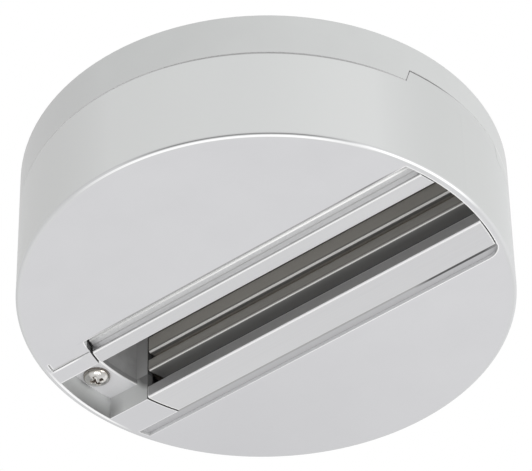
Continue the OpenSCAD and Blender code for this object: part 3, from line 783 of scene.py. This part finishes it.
NICKEL_PLATE = Finish(
    "nickel_plate", "nickel", (0.70, 0.68, 0.65), (0.88, 0.87, 0.85),
    metallic=1.0, gloss=(0.10, 0.22), grain=Grain.TURNED, grain_size=0.2 * MM, mottle_size=0.9 * MM,
    edge=(0.70, 0.66, 0.60), side_edge=(0.3, 0.27, 0.24), edge_reach=0.2 * MM,
    cavity=(0.05, 0.042, 0.035), cavity_reach=2.0 * MM,
    # Painted reflections on the head: a darker ring round the crown and dark sides. The deep cavity colour
    # is painted shade in the cross recess
    strips=(
        Strip(0.14, 0.34, (0.34, 0.31, 0.27), share=0.8, blur=0.06),
        Strip(0.40, 0.60, (0.16, 0.13, 0.11)),
    ),
)
ZINC_PLATE = Finish(
    "zinc_plate", "zinc", (0.50, 0.51, 0.54), (0.64, 0.65, 0.67),
    metallic=1.0, gloss=(0.2, 0.34), grain_size=0.2 * MM, mottle_size=0.9 * MM,
    edge=(0.8, 0.8, 0.82), cavity=(0.08, 0.08, 0.085),
)
BLACK_RUBBER = Finish(
    "black_rubber", "rubber", (0.018, 0.018, 0.019), (0.035, 0.035, 0.036),
    gloss=(0.55, 0.7), grain_size=0.3 * MM, bump_height=0.02 * MM, mottle_size=3 * MM,
    edge=grey(0.07), side_edge=grey(0.07), cavity=grey(0.01),
)


def add_piece(name: str, verts: list[Place], faces: list[Corners], finish: Finish) -> bpy.types.Object:
    """Make a mesh piece that goes with the outlet.

    Args:
        name: Name of the piece.
        verts: Corners in metres, in the row frame.
        faces: Corners of each face by number.
        finish: Finish of the piece.

    Returns:
        The new object.
    """
    mesh = bpy.data.meshes.new(name)
    mesh.from_pydata(verts, [], faces)
    shape = bmesh.new()
    shape.from_mesh(mesh)
    bmesh.ops.recalc_face_normals(shape, faces=shape.faces)
    shape.to_mesh(mesh)
    shape.free()
    mesh.materials.append(finish.material())
    mesh.shade_smooth()
    made = bpy.data.objects.new(name, mesh)
    bpy.context.scene.collection.objects.link(made)
    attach(made, BODY)
    LOG.info("built %s with %d faces", name, len(mesh.polygons))
    return made


@dataclass
class SubAssembly:
    """A group of pieces that belong together."""

    def finishes(self) -> dict[str, Finish]:
        """Name the finish of each node of the group."""
        return {}

    def build(self) -> None:
        """Build the pieces that the group adds; most groups add none."""

    def dress(self) -> None:
        """Give each node its finish."""
        for name, finish in self.finishes().items():
            node = NODES[name]
            node.data.materials.clear()
            node.data.materials.append(finish.material())
            LOG.info("dressed %s with %s", name, finish.name)


@dataclass
class Housing(SubAssembly):
    """The cover with its rounded rim, and the base behind it.

    Attributes:
        cover: Finish of the cover and its rim.
        base: Finish of the base.
        rim_r: Radius of the rounding at the rim, in metres.
        rim_coat: How far the finish of the rim stands over the rounding, in metres.
        rim_turn: Angles where the rim's section begins and ends, from outwards to down, in degrees.
        rim_steps: Flats along the rim's section.
        rim_sides: Flats round the rim.
    """

    cover: Finish = SATIN_SILVER
    base: Finish = SATIN_SILVER_BASE
    rim_r: float = 0.7 * MM
    rim_coat: float = 0.02 * MM
    rim_turn: Span = (-30.0, 120.0)
    rim_steps: int = 15
    rim_sides: int = 360

    def finishes(self) -> dict[str, Finish]:
        """Name the finish of each node of the group."""
        return {"cover": self.cover, "base": self.base}

    def build(self) -> None:
        """Build the smooth rounding of the rim, whose ends lie inside the cover."""
        low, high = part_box("cover")
        first, last = self.rim_turn
        reach = self.rim_r + self.rim_coat
        section: list[Span] = []
        for step in range(self.rim_steps + 1):
            angle = math.radians(first + (last - first) * step / self.rim_steps)
            section.append((high[0] - self.rim_r + reach * math.cos(angle),
                            low[2] + self.rim_r - reach * math.sin(angle)))
        verts: list[Place] = []
        faces: list[Corners] = []
        count = len(section)
        for side in range(self.rim_sides):
            turn = 2 * math.pi * side / self.rim_sides
            verts += [(radius * math.cos(turn), radius * math.sin(turn), z) for radius, z in section]
            start, after = side * count, (side + 1) % self.rim_sides * count
            faces += [(start + k, start + (k + 1) % count, after + (k + 1) % count, after + k)
                      for k in range(count)]
        add_piece("cover_rim", verts, faces, self.cover)


@dataclass
class Track(SubAssembly):
    """The drawn track section and the bead along its polarity ledge.

    Attributes:
        section: Finish of the section.
        bead: Finish of the bead.
        bead_y: Place of the bead across the track, in metres.
        bead_z: Height of the bead's centre line, on the ledge, in metres.
        bead_r: Radius of the bead, in metres.
        bead_sides: Flats round the bead's half circle.
        setback: How far the bead stops short of the track's ends, in metres.
    """

    section: Finish = ANODISED
    bead: Finish = PAINTED_BEAD_HIGHLIGHT
    bead_y: float = -15.85 * MM
    bead_z: float = -37.6 * MM
    bead_r: float = 0.45 * MM
    bead_sides: int = 10
    setback: float = 0.15 * MM

    def finishes(self) -> dict[str, Finish]:
        """Name the finish of each node of the group."""
        return {"track_profile": self.section}

    def build(self) -> None:
        """Build the half round bead, cut to the round ends of the track."""
        low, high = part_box("track_profile")
        verts: list[Place] = []
        for step in range(self.bead_sides + 1):
            angle = math.pi * step / self.bead_sides
            y = self.bead_y + self.bead_r * math.cos(angle)
            z = self.bead_z - self.bead_r * math.sin(angle)
            near = -math.sqrt(low[0] ** 2 - y ** 2) + self.setback
            far = math.sqrt(high[0] ** 2 - y ** 2) - self.setback
            verts += [(near, y, z), (far, y, z)]
        count = self.bead_sides + 1
        faces: list[Corners] = [(2 * k, 2 * k + 1, 2 * k + 3, 2 * k + 2) for k in range(count - 1)]
        faces.append((0, 2 * count - 2, 2 * count - 1, 1))
        faces.append(tuple(2 * k for k in range(count)))
        faces.append(tuple(2 * k + 1 for k in reversed(range(count))))
        add_piece("ledge_bead", verts, faces, self.bead)


@dataclass
class Rails(SubAssembly):
    """The ribbed insulators and the copper bars in their slots.

    Attributes:
        insulator: Finish of the insulators.
        conductor: Finish of the bars.
    """

    insulator: Finish = RAIL_PLASTIC
    conductor: Finish = AGED_COPPER

    def finishes(self) -> dict[str, Finish]:
        """Name the finish of each node of the group."""
        named = {name: self.insulator for name in ("insulator_left", "insulator_right")}
        for name in ("conductor_l1", "conductor_l2", "conductor_l3", "conductor_n"):
            named[name] = self.conductor
        return named


@dataclass
class EndFixing(SubAssembly):
    """The end block with its insert and screws, and the cover screw with its cross recess.

    Attributes:
        block: Finish of the block.
        insert: Finish of the threaded insert.
        screw: Finish of the cover screw.
        fixing: Finish of the block's own screws.
        sides: Flats round the cover screw.
        rings: Rings of the crown, from its centre to its rim.
        rim_share: Height of the head's straight rim, as a share of the head's height.
        crown_power: Fullness of the crown, where 2 gives part of an ellipse.
        rim_break: Size of the broken edge under the head, in metres.
        wing_l: Reach of each wing of the cross from the centre, in metres.
        wing_w: Half width of each wing, in metres.
        wing_slope: Width over which a wing's side falls, in metres.
        cross_turn: Angle of the cross from X, in degrees.
        cross_depth: Depth of the cross at its centre, in metres.
        end_share: Depth at the wings' ends, as a share of the depth at the centre.
        end_slope: Part of a wing's length over which its end falls.
        shank_r: Outer radius of the thread, in metres.
        root_r: Inner radius of the thread, in metres.
        pitch: Pitch of the thread, in metres.
        crest_share: Place of the crest in each turn, as a share of the pitch.
        root_share: Place of the root in each turn, as a share of the pitch.
        tip_share: Radius of the tip, as a share of the thread's outer radius.
        head_h: Height of the head, in metres.
    """

    block: Finish = BLOCK_PLASTIC
    insert: Finish = YELLOW_BRASS
    screw: Finish = NICKEL_PLATE
    fixing: Finish = ZINC_PLATE
    sides: int = 120
    rings: int = 60
    rim_share: float = 0.25
    crown_power: float = 2.4
    rim_break: float = 0.06 * MM
    wing_l: float = 1.75 * MM
    wing_w: float = 0.5 * MM
    wing_slope: float = 0.1 * MM
    cross_turn: float = 20.0
    cross_depth: float = 1.5 * MM
    end_share: float = 0.45
    end_slope: float = 0.08
    shank_r: float = 1.5 * MM
    root_r: float = 1.22 * MM
    pitch: float = 0.5 * MM
    crest_share: float = 0.1
    root_share: float = 0.5
    tip_share: float = 0.6
    head_h: float = 1.9 * MM

    def finishes(self) -> dict[str, Finish]:
        """Name the finish of each node of the group."""
        return {
            "end_block": self.block, "screw_insert": self.insert, "cover_screw": self.screw,
            "end_block_screws": self.fixing,
        }

    def build(self) -> None:
        """Build the cover screw: crown with a cross recess, rim and threaded shank."""
        low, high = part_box("cover_screw")
        axis_x, axis_y = (low[0] + high[0]) / 2, (low[1] + high[1]) / 2
        head_r = (high[1] - low[1]) / 2
        outline = self.outline(head_r, high[2] - low[2])
        verts: list[Place] = []
        for radius, rise in outline:
            for step in range(self.sides):
                angle = 2 * math.pi * step / self.sides
                x, y = radius * math.cos(angle), radius * math.sin(angle)
                depth = self.recess(x, y) if radius < head_r and rise < self.head_h else 0.0
                verts.append((axis_x + x, axis_y + y, low[2] + rise + depth))
        faces: list[Corners] = []
        for ring in range(len(outline) - 1):
            for step in range(self.sides):
                after = (step + 1) % self.sides
                first, second = ring * self.sides, (ring + 1) * self.sides
                faces.append((first + step, first + after, second + after, second + step))
        faces.append(tuple(range(self.sides)))
        faces.append(tuple(reversed(range(len(verts) - self.sides, len(verts)))))
        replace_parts(add_piece("cover_screw_cross_head", verts, faces, self.screw), "cover_screw")

    def outline(self, head_r: float, length: float) -> list[Span]:
        """List the radius and height of each ring, from the crown's centre to the shank's tip.

        Args:
            head_r: Radius of the head.
            length: Length of the whole screw.

        Returns:
            Radius and height above the crown's top of each ring.
        """
        rim_h = self.head_h * self.rim_share
        rows: list[Span] = []
        for ring in range(1, self.rings + 1):
            share = ring / self.rings
            rise = (self.head_h - rim_h) * (1.0 - math.sqrt(1.0 - share ** self.crown_power))
            rows.append((head_r * share, rise))
        rows.append((head_r, self.head_h - self.rim_break))
        rows.append((head_r - self.rim_break, self.head_h))
        rows.append((self.shank_r, self.head_h))
        turns = int((length - self.head_h) / self.pitch) - 1
        for turn in range(turns):
            start = self.head_h + turn * self.pitch
            rows.append((self.shank_r, start + self.crest_share * self.pitch))
            rows.append((self.root_r, start + self.root_share * self.pitch))
        rows.append((self.shank_r, length - self.pitch))
        rows.append((self.tip_share * self.shank_r, length))
        return rows

    def recess(self, x: float, y: float) -> float:
        """Give the depth of the cross recess at a place on the crown.

        Args:
            x: Distance from the axis along X.
            y: Distance from the axis along Y.

        Returns:
            Depth in metres.
        """
        turn = math.radians(self.cross_turn)
        along = abs(x * math.cos(turn) + y * math.sin(turn))
        across = abs(y * math.cos(turn) - x * math.sin(turn))
        reach, side = max(along, across), min(along, across)
        fall = min(max((self.wing_l - reach) / self.wing_l, 0.0), 1.0)
        edge = min(max((self.wing_w + self.wing_slope / 2 - side) / self.wing_slope, 0.0), 1.0)
        floor = self.end_share + (1.0 - self.end_share) * fall
        return self.cross_depth * floor * edge * min(fall / self.end_slope, 1.0)


@dataclass
class Feed(SubAssembly):
    """The links, terminal blocks, clamps and screws of the supply.

    Attributes:
        block: Finish of the terminal blocks.
        clamp: Finish of the clamp cages.
        screw: Finish of the screws.
        link: Finish of the links.
    """

    block: Finish = PALE_PLASTIC
    clamp: Finish = YELLOW_BRASS
    screw: Finish = ZINC_PLATE
    link: Finish = AGED_COPPER

    def finishes(self) -> dict[str, Finish]:
        """Name the finish of each node of the group."""
        named = {"feed_links": self.link, "terminal_clamps": self.clamp}
        for name in ("terminal_block_left", "terminal_block_right"):
            named[name] = self.block
        for name in ("terminal_screws", "block_screws", "track_screws"):
            named[name] = self.screw
        return named


@dataclass
class Earth(SubAssembly):
    """The earth connection of the track.

    Attributes:
        metal: Finish of the strip, washer and screw.
    """

    metal: Finish = YELLOW_BRASS

    def finishes(self) -> dict[str, Finish]:
        """Name the finish of each node of the group."""
        return {name: self.metal for name in ("earth_strip", "earth_washer", "earth_screw")}


@dataclass
class CableEntry(SubAssembly):
    """The grommet in the ceiling plate.

    Attributes:
        grommet: Finish of the grommet.
    """

    grommet: Finish = BLACK_RUBBER

    def finishes(self) -> dict[str, Finish]:
        """Name the finish of each node of the group."""
        return {"cable_grommet": self.grommet}


@dataclass
class Studio:
    """White studio with a pale floor, soft lamps and the photograph's camera.

    Attributes:
        eye: Camera place in metres.
        right: Camera's right, in the row frame.
        up: Camera's up, in the row frame.
        lens: Focal length in millimetres.
        sensor: Width of the camera's sensor in millimetres.
        sight: Nearest and farthest distance that the camera sees, in metres.
        floor_z: Height of the floor, in metres.
        floor_size: Side of the floor, in metres.
        floor_colour: Colour of the floor.
        sky: Strength of the soft light from all round.
        side_reach: Distance of the side lamp to the right of the camera, in metres.
        side_power: Power of the side lamp, in watts.
        low_place: Place of the lamp under the outlet, in metres.
        low_power: Power of the lamp under the outlet, in watts.
        lamp_size: Side of each lamp, in metres.
    """

    eye: Vector = field(default_factory=lambda: Vector((0.41344, -0.52311, -0.60091)))
    right: Vector = field(default_factory=lambda: Vector((0.77643, 0.63003, -0.01510)))
    up: Vector = field(default_factory=lambda: Vector((0.42399, -0.50449, 0.75215)))
    lens: float = 236.1
    sensor: float = 36.0
    sight: Span = (0.01, 20.0)
    floor_z: float = -1.8
    floor_size: float = 3.0
    floor_colour: Colour = grey(0.8)
    sky: float = 0.83
    side_reach: float = 0.85
    side_power: float = 4.0
    low_place: Vector = field(default_factory=lambda: Vector((0.1, -0.12, -1.3)))
    low_power: float = 3.0
    lamp_size: float = 0.6

    def build(self) -> None:
        """Make the camera, the floor, the world and the lamps."""
        self.camera()
        self.floor()
        self.world()
        self.lamp("side_lamp", self.eye + self.right * self.side_reach, self.side_power)
        self.lamp("low_lamp", self.low_place, self.low_power)
        bpy.context.scene.view_settings.view_transform = "Standard"

    def camera(self) -> None:
        """Make the camera at the photograph's place and angle."""
        data = bpy.data.cameras.new("photo_camera")
        data.lens = self.lens
        data.sensor_width = self.sensor
        data.clip_start, data.clip_end = self.sight
        made = bpy.data.objects.new("photo_camera", data)
        back = self.right.cross(self.up)
        turn = Matrix((self.right, self.up, back)).transposed()
        made.matrix_world = Matrix.Translation(self.eye) @ turn.to_4x4()
        bpy.context.scene.collection.objects.link(made)
        bpy.context.scene.camera = made

    def floor(self) -> None:
        """Make the pale floor, far below the outlet."""
        mesh = bpy.data.meshes.new("pale_floor")
        half = self.floor_size / 2
        corners = [(-half, -half), (half, -half), (half, half), (-half, half)]
        mesh.from_pydata([(x, y, self.floor_z) for x, y in corners], [], [(0, 1, 2, 3)])
        made = bpy.data.objects.new("pale_floor", mesh)
        bpy.context.scene.collection.objects.link(made)
        material = bpy.data.materials.new("pale_floor")
        material.use_nodes = True
        board = NodeBoard(material.node_tree)
        output = board.add("ShaderNodeOutputMaterial")
        matte = board.add("ShaderNodeBsdfDiffuse")
        matte.inputs["Color"].default_value = (*self.floor_colour, 1.0)
        board.join(matte.outputs["BSDF"], output.inputs["Surface"])
        mesh.materials.append(material)

    def world(self) -> None:
        """Make the white background and the soft light from all round."""
        world = bpy.data.worlds.new("white_studio")
        world.use_nodes = True
        bpy.context.scene.world = world
        board = NodeBoard(world.node_tree)
        output = board.add("ShaderNodeOutputWorld")
        light = board.add("ShaderNodeBackground")
        light.inputs["Color"].default_value = (1.0, 1.0, 1.0, 1.0)
        light.inputs["Strength"].default_value = self.sky
        white = board.add("ShaderNodeBackground")
        white.inputs["Color"].default_value = (1.0, 1.0, 1.0, 1.0)
        mix = board.add("ShaderNodeMixShader")
        board.join(self.seen_rays(board), mix.inputs["Fac"])
        board.join(light.outputs["Background"], mix.inputs[1])
        board.join(white.outputs["Background"], mix.inputs[2])
        board.join(mix.outputs["Shader"], output.inputs["Surface"])

    def seen_rays(self, board: NodeBoard) -> Socket:
        """Add a switch that is 1 for rays that show the background: from the camera, a gloss or a glass.

        Args:
            board: The world's nodes.

        Returns:
            The switch's socket.
        """
        path = board.add("ShaderNodeLightPath")
        gloss = board.add("ShaderNodeMath", operation="MAXIMUM")
        board.join(path.outputs["Is Camera Ray"], gloss.inputs[0])
        board.join(path.outputs["Is Glossy Ray"], gloss.inputs[1])
        glass = board.add("ShaderNodeMath", operation="MAXIMUM")
        board.join(gloss.outputs["Value"], glass.inputs[0])
        board.join(path.outputs["Is Transmission Ray"], glass.inputs[1])
        return glass.outputs["Value"]

    def lamp(self, name: str, place: Vector, power: float) -> None:
        """Set one soft square lamp that faces the outlet.

        Args:
            name: Name of the lamp.
            place: Where it stands, in metres.
            power: Its power in watts.
        """
        data = bpy.data.lights.new(name, "AREA")
        data.energy = power
        data.size = self.lamp_size
        made = bpy.data.objects.new(name, data)
        target = (CAD_BOX[0] + CAD_BOX[1]) / 2
        made.location = place
        made.rotation_mode = "QUATERNION"
        made.rotation_quaternion = (target - place).to_track_quat("-Z", "Y")
        bpy.context.scene.collection.objects.link(made)


def main() -> None:
    """Build and dress each group in order, then the studio."""
    logging.basicConfig(level=logging.INFO, format="%(name)s: %(message)s")
    groups = [Housing(), Track(), Rails(), EndFixing(), Feed(), Earth(), CableEntry()]
    for group in groups:
        group.build()
        group.dress()
    Studio().build()


if __name__ == "__main__":
    main()
